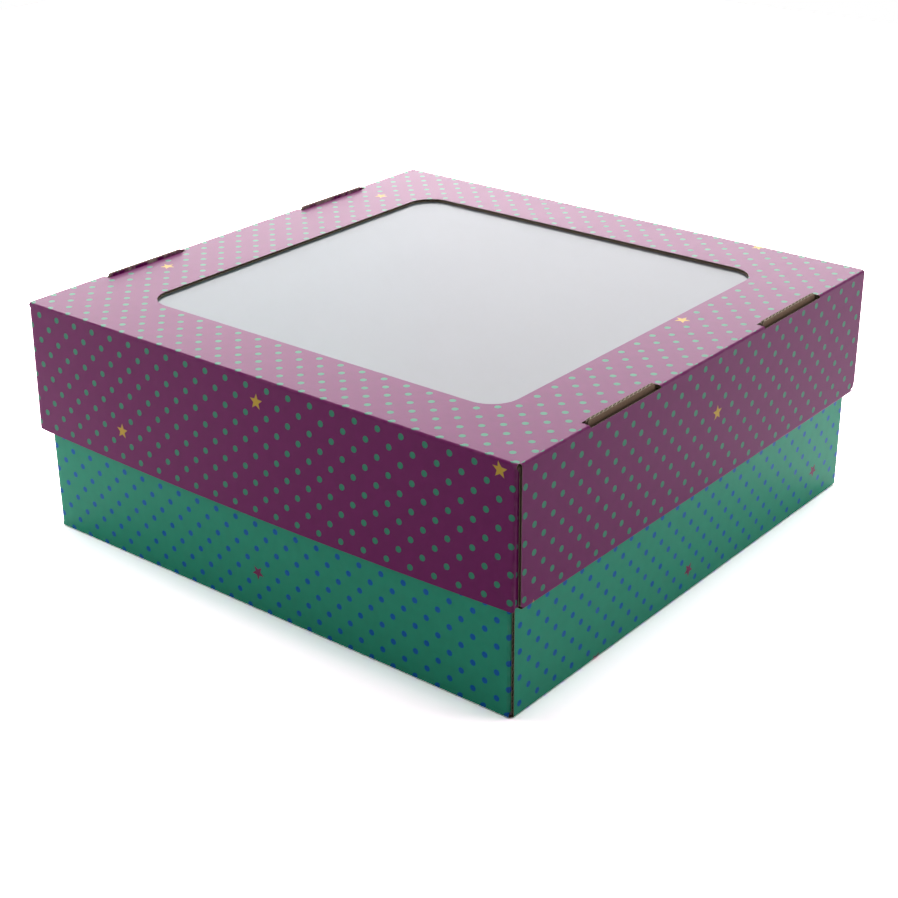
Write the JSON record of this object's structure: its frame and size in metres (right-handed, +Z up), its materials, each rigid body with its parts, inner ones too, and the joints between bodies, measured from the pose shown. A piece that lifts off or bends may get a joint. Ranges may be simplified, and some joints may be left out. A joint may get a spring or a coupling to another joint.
{
  "type": "corrugated sweet box",
  "caption": "Square corrugated sweet box: a deep printed lid with a round-cornered film window lifts off a printed base.",
  "frame": {"origin": "middle of the underside of the closed box, on the surface it stands on", "axes": "+X across the two double walls, -Y towards the front wall, +Z up; the lid lifts along +Z"},
  "size_m": [0.312, 0.3152, 0.1273],
  "materials": {
    "lid_board": "satin varnished print on E-flute board, kraft inside",
    "base_board": "satin varnished print on E-flute board, kraft inside",
    "clear_film": "clear glossy film"
  },
  "bodies": {
    "base": {"base_bottom_panel": "base_board", "base_front_wall": "base_board", "base_back_wall": "base_board", "base_front_right_ear": "base_board", "base_front_left_ear": "base_board", "base_back_right_ear": "base_board", "base_back_left_ear": "base_board", "base_right_outer_wall": "base_board", "base_right_rim_strip": "base_board", "base_left_outer_wall": "base_board", "base_left_rim_strip": "base_board"},
    "lid": {"lid_top_panel": "lid_board", "lid_front_wall": "lid_board", "lid_back_wall": "lid_board", "lid_front_right_ear": "lid_board", "lid_front_left_ear": "lid_board", "lid_back_right_ear": "lid_board", "lid_back_left_ear": "lid_board", "lid_right_outer_wall": "lid_board", "lid_right_rim_strip": "lid_board", "lid_right_inner_wall": "lid_board", "lid_right_lock_tabs": "lid_board", "lid_left_outer_wall": "lid_board", "lid_left_rim_strip": "lid_board", "lid_left_inner_wall": "lid_board", "lid_left_lock_tabs": "lid_board", "window_film": "clear_film"},
    "left_inner_flap": {"base_left_inner_wall": "base_board", "base_left_lock_tabs": "base_board"},
    "right_inner_flap": {"base_right_inner_wall": "base_board", "base_right_lock_tabs": "base_board"}
  },
  "joints": [
    {"name": "lid_lift", "type": "slide", "parent": "base", "child": "lid", "axis": [0, 0, 1], "range_m": [0, 0.12]},
    {"name": "left_inner_fold", "type": "hinge", "parent": "base", "child": "left_inner_flap", "pos_m": [-0.14635, 0, 0.1228], "axis": [0, -1, 0], "range_deg": [0, 90], "deforming": ["base_left_lock_tabs"]},
    {"name": "right_inner_fold", "type": "hinge", "parent": "base", "child": "right_inner_flap", "pos_m": [0.14635, 0, 0.1228], "axis": [0, 1, 0], "range_deg": [0, 90], "deforming": ["base_right_lock_tabs"]}
  ]
}
